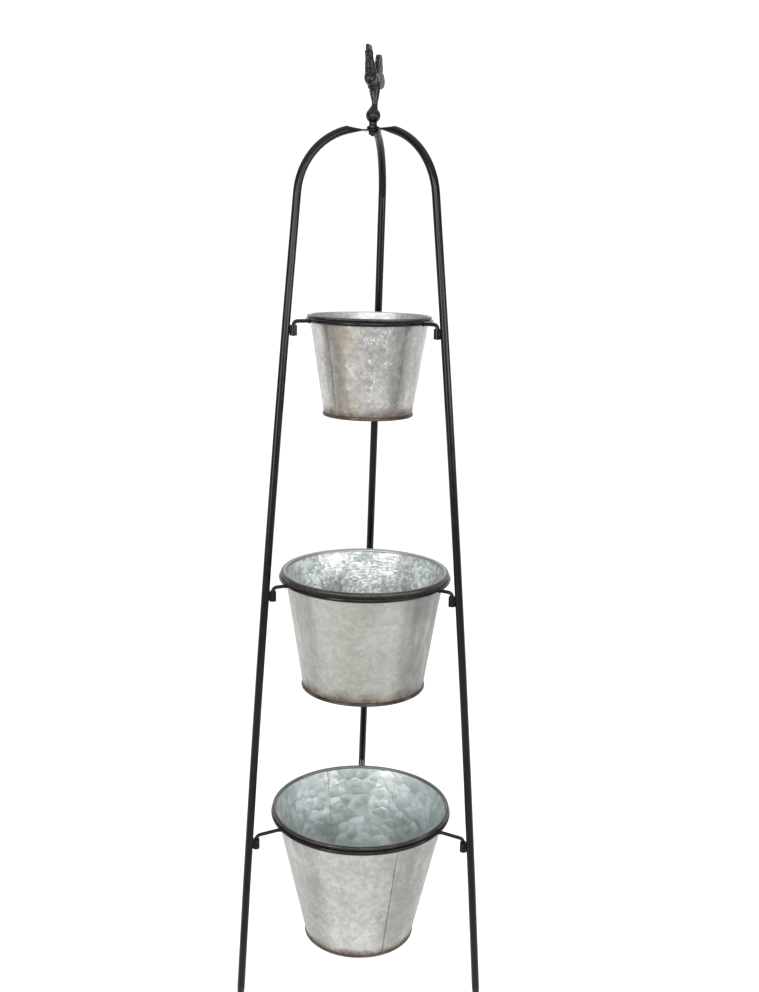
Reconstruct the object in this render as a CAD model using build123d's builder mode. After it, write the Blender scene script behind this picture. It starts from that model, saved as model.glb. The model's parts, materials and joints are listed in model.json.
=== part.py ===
from build123d import *
from math import acos, atan2, cos, hypot, radians, sin, sqrt, tan
import os

# Three-tier tripod plant stand, millimetres, +Z up, front towards -Y. Three bent tube legs meet under
# a cockerel finial. Each tier is a rod hoop whose three arms drop into sockets welded to the legs, and
# a galvanised bucket hangs in each hoop by its rolled rim. The origin lies on the floor, at the middle
# of the rectangle that the stand covers, seen from above.

# ---- legs ----
TUBE_R = 6.35                # half-inch round tube
TUBE_WALL = 1.2
HUB_Z = 1425.0               # middle of the three stacked leg tabs
FOOT_RADIUS = 226.5          # leg centre line to stand axis at the floor, in the leg's own plane
BEND_START_RADIUS = 121.5    # the same where the leg starts to bend inwards
BEND_START_Z = 1328.0
BEND_RADIUS = 108.0
LEG_BOW = 5.8                # outward bulge of the long part of the leg
LEG_LEAN = radians(1.72)     # each leg's plane tips sideways about the hub by this
LEG_AZIMUTH = {"left": radians(201.1), "right": radians(321.1), "rear": radians(81.1)}
SIDES = list(LEG_AZIMUTH)

TAB_WIDTH = 19.0             # the tube pressed flat
TAB_THICK = 2.4
FLAT_START = 42.0            # radius where the round tube starts to flatten
FLAT_END = 16.0              # radius where it is flat
TAB_HOLE_R = 4.4
TAB_LEVEL = {"left": -1, "right": 0, "rear": 1}

TIP_LENGTH = 26.0            # tapered plug that closes the foot
TIP_TAPER = 4.0
TIP_SPIGOT = 18.0

# ---- sockets, hoops and arms ----
HOOP_ROD_R = 3.6
ARM_ROD_R = 3.0
PIN_CLEARANCE = 0.45
SOCKET_R = 5.75
SOCKET_LENGTH = 16.0
SOCKET_GAP = 0.8             # filled by the weld between socket and leg
SOCKET_TOP = 6.0             # hoop centre line down to the socket's mouth
WELD_WIDTH = 6.0
WELD_HEIGHT = 11.0
ELBOW_RADIUS = 7.0
PIN_PROUD = 1.0              # pin end below the socket
HOOP_GAP = 0.3               # between the bucket's bead and the hoop that it rests on

# ---- finial and hub ----
STUD_R = 4.0
NUT_FLATS = 13.0
NUT_HEIGHT = 5.0
NUT_CLEARANCE = 0.05
STUD_PROUD = 2.0
COLLAR_GAP = 0.3
COLLAR_R = 6.5
COLLAR_HEIGHT = 6.2
BALL_R = 11.2
BALL_SINK = 1.6              # how deep the ball sits in the collar and the cockerel's foot
COCKEREL_HEIGHT = 92.0
COCKEREL_THICK = 11.0
COCKEREL_AZIMUTH = radians(252.0)    # where its head points

# ---- buckets ----
SHEET = 0.8
SEAM_PROUD = 0.9
SEAM_ANGLE = 3.0
SEAM_TOP_GAP = 14.0          # seams are pressed flat where the hoop sits
RING_HEIGHT = 6.0
PAN_RECESS = 5.0
WIRE_CLEARANCE = 0.05
CURL_GAP = 0.7
TIERS = {
    "top": dict(rim_r=98.8, bead_z=1140.4, bead_r=2.2, hoop_r=98.4, wall_top=95.2, wall_base=70.4,
                ring_r=73.3, base_z=983.5, seam=radians(226)),
    "middle": dict(rim_r=139.3, bead_z=720.6, bead_r=4.2, hoop_r=139.1, wall_top=132.8, wall_base=101.0,
                   ring_r=104.4, base_z=524.0, seam=radians(190)),
    "bottom": dict(rim_r=153.0, bead_z=299.7, bead_r=3.4, hoop_r=151.4, wall_top=147.0, wall_base=93.2,
                   ring_r=95.6, base_z=65.8, seam=radians(116)),
}


def radial(azimuth):
    return Vector(cos(azimuth), sin(azimuth), 0)


def tangential(azimuth):
    return Vector(-sin(azimuth), cos(azimuth), 0)


def leg_offset(side, z):
    """Leg centre line at height z below the bend, measured from the stand's axis."""
    t = z / BEND_START_Z
    radius = FOOT_RADIUS + (BEND_START_RADIUS - FOOT_RADIUS) * t + 4 * LEG_BOW * t * (1 - t)
    azimuth = LEG_AZIMUTH[side]
    return radial(azimuth) * radius + tangential(azimuth) * ((HUB_Z - z) * tan(LEG_LEAN))


# The stand's axis, placed so that the whole stand, seen from above, is centred on the origin. Its
# furthest points are the feet, and in front the hoop of the bottom tier.
feet = [leg_offset(side, 0) for side in SIDES]
AXIS_X = -(min(foot.X for foot in feet) + max(foot.X for foot in feet)) / 2
AXIS_Y = (TIERS["bottom"]["hoop_r"] + HOOP_ROD_R - max(foot.Y for foot in feet) - TUBE_R) / 2
STAND_AXIS = Axis((AXIS_X, AXIS_Y, 0), (0, 0, 1))


def on_axis(z):
    return Vector(AXIS_X, AXIS_Y, z)


def leg_point(side, z):
    return on_axis(z) + leg_offset(side, z)


def leg_direction(side, z):
    return (leg_point(side, z + 1) - leg_point(side, z - 1)).normalized()


def upright_plane(azimuth, z=0.0):
    """Plane through the stand's axis: local x runs outwards along azimuth, local y runs up."""
    return Plane(origin=on_axis(z), x_dir=radial(azimuth), z_dir=-tangential(azimuth))


def bead_centre(tier):
    """Distance from the stand's axis, and height, of the middle of the rolled rim."""
    return tier["rim_r"] - tier["bead_r"], tier["bead_z"]


def hoop_z(tier):
    """Height of the hoop's centre line: the bead rests on it, HOOP_GAP short of touching."""
    reach = tier["bead_r"] + HOOP_GAP + HOOP_ROD_R
    offset = tier["hoop_r"] - bead_centre(tier)[0]
    return tier["bead_z"] - sqrt(reach**2 - offset**2)


def socket_place(side, tier):
    """Azimuth of the socket about the stand's axis, its distance from it, and its mid height."""
    z = hoop_z(tier) - SOCKET_TOP - SOCKET_LENGTH / 2
    leg = leg_offset(side, z)
    radius = hypot(leg.X, leg.Y) - TUBE_R - SOCKET_GAP - SOCKET_R
    return atan2(leg.Y, leg.X), radius, z


def save(part, label):
    part.label = label
    export_step(part, f"parts/{label}.step")


# ---- legs: a bent tube with its top end pressed flat and drilled ----
def make_leg(side):
    azimuth = LEG_AZIMUTH[side]
    out, across = radial(azimuth), tangential(azimuth)
    lean_up = Vector(0, 0, 1) * cos(LEG_LEAN) - across * sin(LEG_LEAN)
    bend_start = leg_point(side, BEND_START_Z)
    with BuildLine() as lower:
        ThreePointArc(leg_point(side, TIP_LENGTH), leg_point(side, BEND_START_Z / 2), bend_start)
    heading = lower.line % 1
    slope = atan2(-heading.dot(out), heading.dot(lean_up))
    centre = bend_start - (out * cos(slope) + lean_up * sin(slope)) * BEND_RADIUS
    centre_radius = BEND_START_RADIUS - BEND_RADIUS * cos(slope)
    bend_end = acos((FLAT_START - centre_radius) / BEND_RADIUS)

    def on_bend(angle):
        return centre + (out * cos(angle) + lean_up * sin(angle)) * BEND_RADIUS

    tab_z = HUB_Z + TAB_LEVEL[side] * TAB_THICK
    with BuildPart() as leg:
        with BuildLine() as path:
            add(lower.line)
            ThreePointArc(bend_start, on_bend((slope + bend_end) / 2), on_bend(bend_end))
        for radius, mode in ((TUBE_R, Mode.ADD), (TUBE_R - TUBE_WALL, Mode.SUBTRACT)):
            with BuildSketch(Plane(origin=path.line @ 0, z_dir=path.line % 0)):
                Circle(radius)
            sweep(path=path.line, mode=mode)
        with BuildSketch(Plane(origin=path.line @ 1, x_dir=across, z_dir=path.line % 1)):
            Circle(TUBE_R)
        with BuildSketch(Plane(origin=on_axis(tab_z) + out * FLAT_END, x_dir=across, z_dir=-out)):
            Ellipse(TAB_WIDTH / 2, TAB_THICK / 2)
        loft()
        with BuildSketch(Plane(origin=on_axis(tab_z - TAB_THICK / 2), x_dir=out, z_dir=(0, 0, 1))):
            Rectangle(FLAT_END + 1, TAB_WIDTH, align=(Align.MIN, Align.CENTER))
            Circle(TAB_WIDTH / 2)
        extrude(amount=TAB_THICK)
        with BuildSketch(Plane(origin=on_axis(tab_z - TAB_THICK), x_dir=out, z_dir=(0, 0, 1))):
            Circle(TAB_HOLE_R)
        extrude(amount=2 * TAB_THICK, mode=Mode.SUBTRACT)
    save(leg.part, f"leg_{side}")


def make_foot_tip(side):
    """Tapered plug: a spigot up the tube, and a tip cut level with the floor."""
    plane = Plane(origin=leg_point(side, TIP_LENGTH), z_dir=leg_direction(side, TIP_LENGTH))
    with BuildPart() as tip:
        with BuildSketch(plane):
            Circle(TUBE_R)
        extrude(amount=-1.2 * TIP_LENGTH, taper=TIP_TAPER)
        with BuildSketch(plane):
            Circle(TUBE_R - TUBE_WALL)
        extrude(amount=TIP_SPIGOT)
        split(bisect_by=Plane.XY, keep=Keep.TOP)
    save(tip.part, f"foot_tip_{side}")


# ---- sockets: short sleeves welded to the inner side of the legs ----
def make_socket(side, name, tier):
    azimuth, radius, z = socket_place(side, tier)
    centre = on_axis(z) + radial(azimuth) * radius
    reach = SOCKET_R + SOCKET_GAP + TUBE_R
    with BuildPart() as socket:
        with BuildSketch(Plane(origin=centre - Vector(0, 0, WELD_HEIGHT / 2), x_dir=radial(azimuth),
                               z_dir=(0, 0, 1))):
            Rectangle(reach, WELD_WIDTH, align=(Align.MIN, Align.CENTER))
        extrude(amount=WELD_HEIGHT)
        with BuildSketch(Plane(origin=leg_point(side, z - SOCKET_LENGTH),
                               z_dir=leg_direction(side, z))):
            Circle(TUBE_R)
        extrude(amount=2 * SOCKET_LENGTH, mode=Mode.SUBTRACT)
        with BuildSketch(Plane(origin=centre - Vector(0, 0, SOCKET_LENGTH / 2))):
            Circle(SOCKET_R)
        extrude(amount=SOCKET_LENGTH)
        with BuildSketch(Plane(origin=centre - Vector(0, 0, SOCKET_LENGTH / 2))):
            Circle(ARM_ROD_R + PIN_CLEARANCE)
        extrude(amount=SOCKET_LENGTH, mode=Mode.SUBTRACT)
    save(socket.part, f"socket_{name}_{side}")


# ---- rings: a rod hoop with three arms that turn down into pins ----
def make_hoop(name, tier):
    with BuildPart() as hoop:
        with Locations(on_axis(hoop_z(tier))):
            Torus(tier["hoop_r"], HOOP_ROD_R)
    save(hoop.part, f"hoop_{name}")


def make_arm(side, name, tier):
    azimuth, radius, _ = socket_place(side, tier)
    pin_length = SOCKET_TOP + SOCKET_LENGTH + PIN_PROUD
    with BuildPart() as arm:
        with BuildLine(upright_plane(azimuth, hoop_z(tier))) as path:
            FilletPolyline((tier["hoop_r"], 0), (radius, 0), (radius, -pin_length), radius=ELBOW_RADIUS)
        with BuildSketch(Plane(origin=path.line @ 0, z_dir=path.line % 0)):
            Circle(ARM_ROD_R)
        sweep(path=path.line)
        fillet(arm.edges().sort_by(Axis.Z)[0], ARM_ROD_R / 2)
        with Locations(on_axis(hoop_z(tier))):
            Torus(tier["hoop_r"], HOOP_ROD_R, mode=Mode.SUBTRACT)
    save(arm.part, f"arm_{name}_{side}")


# ---- buckets ----
def wall_radius(tier, z):
    """Outer radius of the tapered wall at height z."""
    return tier["wall_base"] + (tier["wall_top"] - tier["wall_base"]) * (z - tier["base_z"]) / (
        tier["bead_z"] - tier["base_z"])


def wall_band(tier, low, high, inner, outer):
    """Section of a sheet that follows the wall from height low to high, inner and outer being offsets."""
    return [(wall_radius(tier, low) + inner, low), (wall_radius(tier, low) + outer, low),
            (wall_radius(tier, high) + outer, high), (wall_radius(tier, high) + inner, high)]


def make_shell(half, name, tier):
    """Half of the wall, with the lock seam along its starting edge and a flare that meets the bead."""
    start = tier["seam"] + (radians(180) if half == "rear" else 0)
    bead = bead_centre(tier)
    flare_z = tier["bead_z"] - tier["bead_r"]
    lip_z = flare_z + SHEET / 2
    low, high = tier["base_z"] + 1.0, tier["bead_z"] + 0.5
    flare_r = bead[0] - tier["bead_r"] + 0.4
    with BuildPart() as shell:
        with BuildSketch(upright_plane(start)):
            with BuildLine():
                Polyline((wall_radius(tier, low), low), (wall_radius(tier, flare_z), flare_z),
                         (flare_r, high), (flare_r - SHEET, high + SHEET / 2),
                         (wall_radius(tier, lip_z) - SHEET, lip_z),
                         (wall_radius(tier, low) - SHEET, low), close=True)
            make_face()
            with Locations(bead):
                Circle(tier["bead_r"], mode=Mode.SUBTRACT)
        revolve(axis=STAND_AXIS, revolution_arc=180)
        with BuildSketch(upright_plane(start)):
            with BuildLine():
                Polyline(*wall_band(tier, tier["base_z"] + RING_HEIGHT, tier["bead_z"] - SEAM_TOP_GAP,
                                    -SHEET / 2, SEAM_PROUD), close=True)
            make_face()
        revolve(axis=STAND_AXIS, revolution_arc=SEAM_ANGLE)
    save(shell.part, f"bucket_{name}_shell_{half}")


def make_rim(name, tier):
    """Rolled rim: the sheet curled outwards round a wire, its edge tucked in below."""
    bead = bead_centre(tier)
    with BuildPart() as rim:
        with BuildSketch(upright_plane(0)):
            with Locations(bead):
                Circle(tier["bead_r"])
                Circle(tier["bead_r"] - SHEET, mode=Mode.SUBTRACT)
            with Locations((bead[0] - tier["bead_r"] / 2, bead[1] - tier["bead_r"])):
                Rectangle(CURL_GAP, tier["bead_r"], mode=Mode.SUBTRACT)
        revolve(axis=STAND_AXIS)
    save(rim.part, f"bucket_{name}_rim")
    with BuildPart() as wire:
        with Locations(on_axis(tier["bead_z"])):
            Torus(bead[0], tier["bead_r"] - SHEET - WIRE_CLEARANCE)
    save(wire.part, f"bucket_{name}_rim_wire")


def make_base(name, tier):
    """Base pan pressed in from below with a down-turned flange, and the ring hemmed round the bottom."""
    floor_z = tier["base_z"] + PAN_RECESS
    inside = wall_radius(tier, tier["base_z"] + 1) - SHEET
    with BuildPart() as pan:
        with BuildSketch(upright_plane(0)):
            with BuildLine():
                Polyline((0, floor_z), (inside - SHEET, floor_z), (inside - SHEET, tier["base_z"] + 1),
                         (inside, tier["base_z"] + 1),
                         (wall_radius(tier, floor_z + SHEET) - SHEET, floor_z + SHEET),
                         (0, floor_z + SHEET), close=True)
            make_face()
        revolve(axis=STAND_AXIS)
    save(pan.part, f"bucket_{name}_base")
    top, low = tier["base_z"] + RING_HEIGHT, tier["base_z"]
    with BuildPart() as ring:
        with BuildSketch(upright_plane(0)):
            with BuildLine():
                Polyline((inside - 2 * SHEET, low), (tier["ring_r"] - 0.6, low),
                         (tier["ring_r"], low + 1.4), (tier["ring_r"] - 0.3, low + 3.4),
                         (wall_radius(tier, top) + 0.5, top), (wall_radius(tier, top), top),
                         (wall_radius(tier, low + 1), low + 1), (inside - 2 * SHEET, low + 1), close=True)
            make_face()
        revolve(axis=STAND_AXIS)
    save(ring.part, f"bucket_{name}_base_ring")


# ---- hub and finial ----
STACK_TOP = HUB_Z + 1.5 * TAB_THICK
STACK_BOTTOM = HUB_Z - 1.5 * TAB_THICK
COLLAR_Z = STACK_TOP + COLLAR_GAP
BALL_Z = COLLAR_Z + COLLAR_HEIGHT - BALL_SINK + BALL_R
PERCH_Z = BALL_Z + BALL_R - BALL_SINK


def make_hub_nut():
    with BuildPart() as nut:
        with BuildSketch(Plane(origin=on_axis(STACK_BOTTOM - NUT_HEIGHT))):
            RegularPolygon(NUT_FLATS / 2, 6, major_radius=False)
            Circle(STUD_R + NUT_CLEARANCE, mode=Mode.SUBTRACT)
        extrude(amount=NUT_HEIGHT)
    save(nut.part, "hub_nut")


def make_finial_mount():
    """Stud, collar and ball, which carry the cockerel."""
    stud_bottom = STACK_BOTTOM - NUT_HEIGHT - STUD_PROUD
    with BuildPart() as stud:
        with BuildSketch(Plane(origin=on_axis(stud_bottom))):
            Circle(STUD_R)
        extrude(amount=COLLAR_Z - stud_bottom)
        chamfer(stud.edges().sort_by(Axis.Z)[0], 1.0)
    save(stud.part, "finial_stud")
    with BuildPart() as collar:
        with BuildSketch(Plane(origin=on_axis(COLLAR_Z))):
            Circle(COLLAR_R)
        extrude(amount=COLLAR_HEIGHT)
        fillet(collar.edges().sort_by(Axis.Z)[0], 0.8)
        with Locations(on_axis(BALL_Z)):
            Sphere(BALL_R, mode=Mode.SUBTRACT)
    save(collar.part, "finial_collar")
    with BuildPart() as ball:
        with Locations(on_axis(BALL_Z)):
            Sphere(BALL_R)
    save(ball.part, "finial_ball")


def make_cockerel():
    """A cast cockerel: a plate-like figure whose foot widens onto the ball."""
    foot = PERCH_Z
    crown = COCKEREL_HEIGHT
    with BuildPart() as cockerel:
        with BuildSketch(upright_plane(COCKEREL_AZIMUTH, foot)):
            with BuildLine():
                front = Spline((8, 0), (5, 12), (13, 27), (25, 42), (27, 56), (23, 66))
                face = Polyline(front @ 1, (25, 68), (36, 73), (29, 78), (30, 90), (24, crown - 1),
                                (19, crown), (14, 87))
                back = Spline(face @ 1, (13, 72), (4, 56), (-8, 54), (-15, 64), (-21, 77), (-30, 81))
                tail = Spline(back @ 1, (-38, 66), (-36, 48), (-26, 36))
                Spline(tail @ 1, (-14, 28), (-5, 12), (-8, 0))
                Line((-8, 0), (8, 0))
            make_face()
        extrude(amount=COCKEREL_THICK / 2, both=True)
        with Locations(on_axis(BALL_Z)):
            Sphere(BALL_R, mode=Mode.SUBTRACT)
    save(cockerel.part, "cockerel")


os.makedirs("parts", exist_ok=True)
for side_name in SIDES:
    make_leg(side_name)
    make_foot_tip(side_name)
for tier_name, tier_sizes in TIERS.items():
    make_hoop(tier_name, tier_sizes)
    for side_name in SIDES:
        make_socket(side_name, tier_name, tier_sizes)
        make_arm(side_name, tier_name, tier_sizes)
    for half_name in ("front", "rear"):
        make_shell(half_name, tier_name, tier_sizes)
    make_rim(tier_name, tier_sizes)
    make_base(tier_name, tier_sizes)
make_hub_nut()
make_finial_mount()
make_cockerel()
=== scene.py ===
"""Looks of the three-tier plant stand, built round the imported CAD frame. Metres, +Z up, front towards -Y."""

import json
from math import ceil, cos, pi, radians, sin, tau

import bmesh
import bpy
from mathutils import Matrix, Vector, noise


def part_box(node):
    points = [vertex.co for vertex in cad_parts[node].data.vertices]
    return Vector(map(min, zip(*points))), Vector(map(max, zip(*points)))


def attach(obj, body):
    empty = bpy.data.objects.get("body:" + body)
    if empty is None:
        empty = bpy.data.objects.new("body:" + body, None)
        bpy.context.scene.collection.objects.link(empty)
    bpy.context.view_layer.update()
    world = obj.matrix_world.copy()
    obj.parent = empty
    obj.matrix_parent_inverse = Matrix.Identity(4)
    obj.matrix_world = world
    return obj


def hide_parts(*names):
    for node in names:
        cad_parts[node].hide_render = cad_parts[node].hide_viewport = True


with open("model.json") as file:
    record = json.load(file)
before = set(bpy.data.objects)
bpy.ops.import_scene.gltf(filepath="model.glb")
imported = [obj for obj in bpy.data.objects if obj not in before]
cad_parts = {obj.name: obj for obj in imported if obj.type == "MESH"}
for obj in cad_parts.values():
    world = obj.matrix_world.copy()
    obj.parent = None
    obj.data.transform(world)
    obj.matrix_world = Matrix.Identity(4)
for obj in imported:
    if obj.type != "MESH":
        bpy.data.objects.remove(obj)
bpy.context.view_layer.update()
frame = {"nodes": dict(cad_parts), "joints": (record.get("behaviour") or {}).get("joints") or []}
scene = bpy.context.scene

MM = 0.001
TIERS = ("top", "middle", "bottom")
SIDES = ("left", "right", "rear")
hub = next(joint for joint in frame["joints"] if joint["name"] == "finial_turn")
AXIS = Vector((hub["pos_m"][0], hub["pos_m"][1], 0))     # the stand's upright axis

# Sizes that the boxes of the CAD nodes don't give, the same as in the CAD source.
SHEET = 0.8 * MM
ARM_R = 3.0 * MM
LEG_TO_PIN = 12.9 * MM       # leg centre line to socket centre line
HEM_HEIGHT = 6 * MM
NUT_BORE_R = 4.05 * MM
# Azimuths: of each bucket's first seam, and of where the cockerel looks.
SEAM = {"top": radians(226), "middle": radians(190), "bottom": radians(116)}
COCKEREL_AZIMUTH = radians(252)


# ---- node helper ----------------------------------------------------------------------------------
class Graph:
    """A material's node tree, built one call per node."""

    def __init__(self, name):
        self.material = bpy.data.materials.new(name)
        self.material.use_nodes = True
        self.tree = self.material.node_tree
        self.tree.nodes.clear()
        self.output = self.tree.nodes.new("ShaderNodeOutputMaterial")
        coordinates = self.add("ShaderNodeTexCoord").outputs["Object"]
        self.place = self.vector("SUBTRACT", coordinates, tuple(AXIS))

    def add(self, kind, settings=None, **inputs):
        """New node. settings are its properties, inputs its sockets, each a value or another socket."""
        node = self.tree.nodes.new(kind)
        for key, value in (settings or {}).items():
            setattr(node, key, value)
        for key, value in inputs.items():
            self.feed(node.inputs[key.replace("_", " ")], value)
        return node

    def feed(self, socket, value):
        if isinstance(value, bpy.types.NodeSocket):
            self.tree.links.new(value, socket)
        else:
            socket.default_value = value

    def math(self, operation, a, b=0.0, c=0.0):
        node = self.add("ShaderNodeMath", {"operation": operation})
        for socket, value in zip(node.inputs, (a, b, c)):
            self.feed(socket, value)
        return node.outputs[0]

    def vector(self, operation, a, b=(0, 0, 0)):
        node = self.add("ShaderNodeVectorMath", {"operation": operation})
        self.feed(node.inputs[0], a)
        self.feed(node.inputs[1], b)
        return node.outputs["Value" if operation in ("DOT_PRODUCT", "LENGTH") else "Vector"]

    def stretched(self, factors, shift=(0, 0, 0)):
        """Place for a noise drawn out along the axes whose factor is under 1."""
        return self.vector("ADD", self.vector("MULTIPLY", self.place, factors), shift)

    def noise(self, scale, detail=3.0, roughness=0.5, place=None):
        """Fractal noise, mostly 0.3 to 0.7. scale is about the number of waves in a metre."""
        node = self.add("ShaderNodeTexNoise", Vector=place or self.place, Scale=scale, Detail=detail,
                        Roughness=roughness)
        return node.outputs["Fac"]

    def ramp(self, value, low, high, to_low=0.0, to_high=1.0):
        """Map value smoothly from low..high to to_low..to_high, clamped."""
        node = self.add("ShaderNodeMapRange", {"interpolation_type": "SMOOTHSTEP"}, Value=value, From_Min=low,
                        From_Max=high, To_Min=to_low, To_Max=to_high)
        return node.outputs["Result"]

    def mix(self, factor, a, b, blend="MIX"):
        node = self.add("ShaderNodeMix", {"data_type": "RGBA", "blend_type": blend})
        self.feed(node.inputs[0], factor)
        self.feed(node.inputs[6], a)
        self.feed(node.inputs[7], b)
        return node.outputs[2]

    def bump(self, height, distance, strength=1.0, normal=None):
        node = self.add("ShaderNodeBump", Strength=strength, Distance=distance, Height=height)
        if normal is not None:
            self.feed(node.inputs["Normal"], normal)
        return node.outputs["Normal"]

    def facing(self, azimuth, narrow, wide):
        """1 on the side of the stand that faces azimuth, fading to 0 between the two half-angles."""
        flat = self.vector("NORMALIZE", self.vector("MULTIPLY", self.place, (1, 1, 0)))
        towards = self.vector("DOT_PRODUCT", flat, (cos(azimuth), sin(azimuth), 0))
        return self.ramp(towards, cos(wide), cos(narrow))

    def height(self):
        """Height above the floor."""
        return self.add("ShaderNodeSeparateXYZ", Vector=self.place).outputs["Z"]

    def finish(self, **inputs):
        """Close the tree with a principled shader and return the material."""
        shader = self.add("ShaderNodeBsdfPrincipled", **inputs)
        self.tree.links.new(shader.outputs[0], self.output.inputs["Surface"])
        return self.material


def rgb(red, green, blue):
    return (red, green, blue, 1.0)


# ---- materials ------------------------------------------------------------------------------------
def powder_coat():
    """Satin black powder coat: fine orange peel and slightly rubbed patches."""
    g = Graph("black_powder_coat")
    rubbed = g.ramp(g.noise(30, 4, 0.6), 0.45, 0.75)
    colour = g.mix(rubbed, rgb(0.0016, 0.0016, 0.0019), rgb(0.0038, 0.0037, 0.0040))
    roughness = g.ramp(g.noise(60, 3), 0.3, 0.7, 0.17, 0.24)
    return g.finish(Base_Color=colour, Roughness=roughness, Specular_IOR_Level=0.27,
                    Specular_Tint=rgb(0.96, 0.965, 1.0), Normal=g.bump(g.noise(400, 2), 0.01 * MM))


def cast_black():
    """Black paint over a sand casting: slightly uneven, with the high spots rubbed paler."""
    g = Graph("cast_black")
    grain = g.noise(700, 4, 0.55)
    worn = g.ramp(g.noise(120, 4, 0.65), 0.55, 0.78)
    colour = g.mix(worn, rgb(0.0022, 0.0022, 0.0022), rgb(0.008, 0.0077, 0.0074))
    return g.finish(Base_Color=colour, Roughness=g.ramp(grain, 0.3, 0.7, 0.24, 0.36),
                    Specular_IOR_Level=0.36, Normal=g.bump(g.noise(180, 2), 0.04 * MM))


def dark_fixing():
    """Black fastener with the paint rubbed thin in places."""
    g = Graph("black_fixing")
    colour = g.mix(g.ramp(g.noise(300, 4), 0.5, 0.75), rgb(0.004, 0.004, 0.0045), rgb(0.025, 0.023, 0.021))
    return g.finish(Base_Color=colour, Roughness=g.ramp(g.noise(500, 3), 0.3, 0.7, 0.24, 0.38),
                    Normal=g.bump(g.noise(1500, 2), 0.03 * MM))


def foot_plastic():
    """Matt black moulding, scuffed along its length."""
    g = Graph("black_foot")
    scuffs = g.ramp(g.noise(220, 5, 0.7, g.stretched((1, 1, 0.25))), 0.5, 0.8)
    return g.finish(Base_Color=g.mix(scuffs, rgb(0.004, 0.004, 0.004), rgb(0.02, 0.019, 0.018)),
                    Roughness=g.ramp(scuffs, 0, 1, 0.45, 0.65), Specular_IOR_Level=0.3,
                    Normal=g.bump(g.noise(2200, 2), 0.03 * MM))


def plain_wire():
    """Bare drawn wire, which the rolled rim hides."""
    g = Graph("drawn_wire")
    drawn = g.noise(400, 3)
    return g.finish(Base_Color=g.mix(drawn, rgb(0.3, 0.3, 0.3), rgb(0.42, 0.42, 0.42)), Metallic=1.0,
                    Roughness=g.ramp(drawn, 0.3, 0.7, 0.35, 0.5))


def burnished(name, dark, pale, worn, centre=None, inner=None):
    """Rolled edge gone dark, with paler steel where it is rubbed. Inwards of centre its colour is inner."""
    g = Graph(name)
    patches = g.noise(26, 5, 0.65)
    fine = g.noise(320, 4, 0.7)
    colour = g.mix(g.ramp(patches, 0.36, 0.66), dark, pale)
    colour = g.mix(g.ramp(fine, 0.55, 0.75, 0.0, 0.8), colour, worn)
    if centre:
        out = g.vector("LENGTH", g.vector("MULTIPLY", g.place, (1, 1, 0)))
        ragged = g.math("MULTIPLY_ADD", g.math("SUBTRACT", g.noise(90, 4, 0.6), 0.5), 3 * MM, out)
        bare = g.mix(fine, rgb(*(0.7 * part for part in inner)), rgb(*(1.3 * part for part in inner)))
        colour = g.mix(g.ramp(ragged, centre + 0.4 * MM, centre - 0.7 * MM), colour, bare)
    return g.finish(Base_Color=colour, Metallic=0.75, Roughness=g.ramp(fine, 0.3, 0.7, 0.28, 0.46),
                    Normal=g.bump(fine, 0.12 * MM))


SPECK = rgb(0.12, 0.117, 0.108)
STREAK = rgb(0.22, 0.218, 0.205)
FLECK = rgb(0.92, 0.92, 0.90)
SEAM_DIRT = rgb(0.045, 0.042, 0.038)
RUST = (rgb(0.060, 0.040, 0.026), rgb(0.17, 0.125, 0.090))
ZINC_METALLIC, RUST_METALLIC = 0.92, 0.4
FLECKED_SIDE = (radians(268), radians(26), radians(62))     # its middle, and where flecks thin out and end
SEAM_LINE = (0.9 * MM, 0.4 * MM)     # how far from a seam's middle its dirt ends, and where it is full


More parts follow.
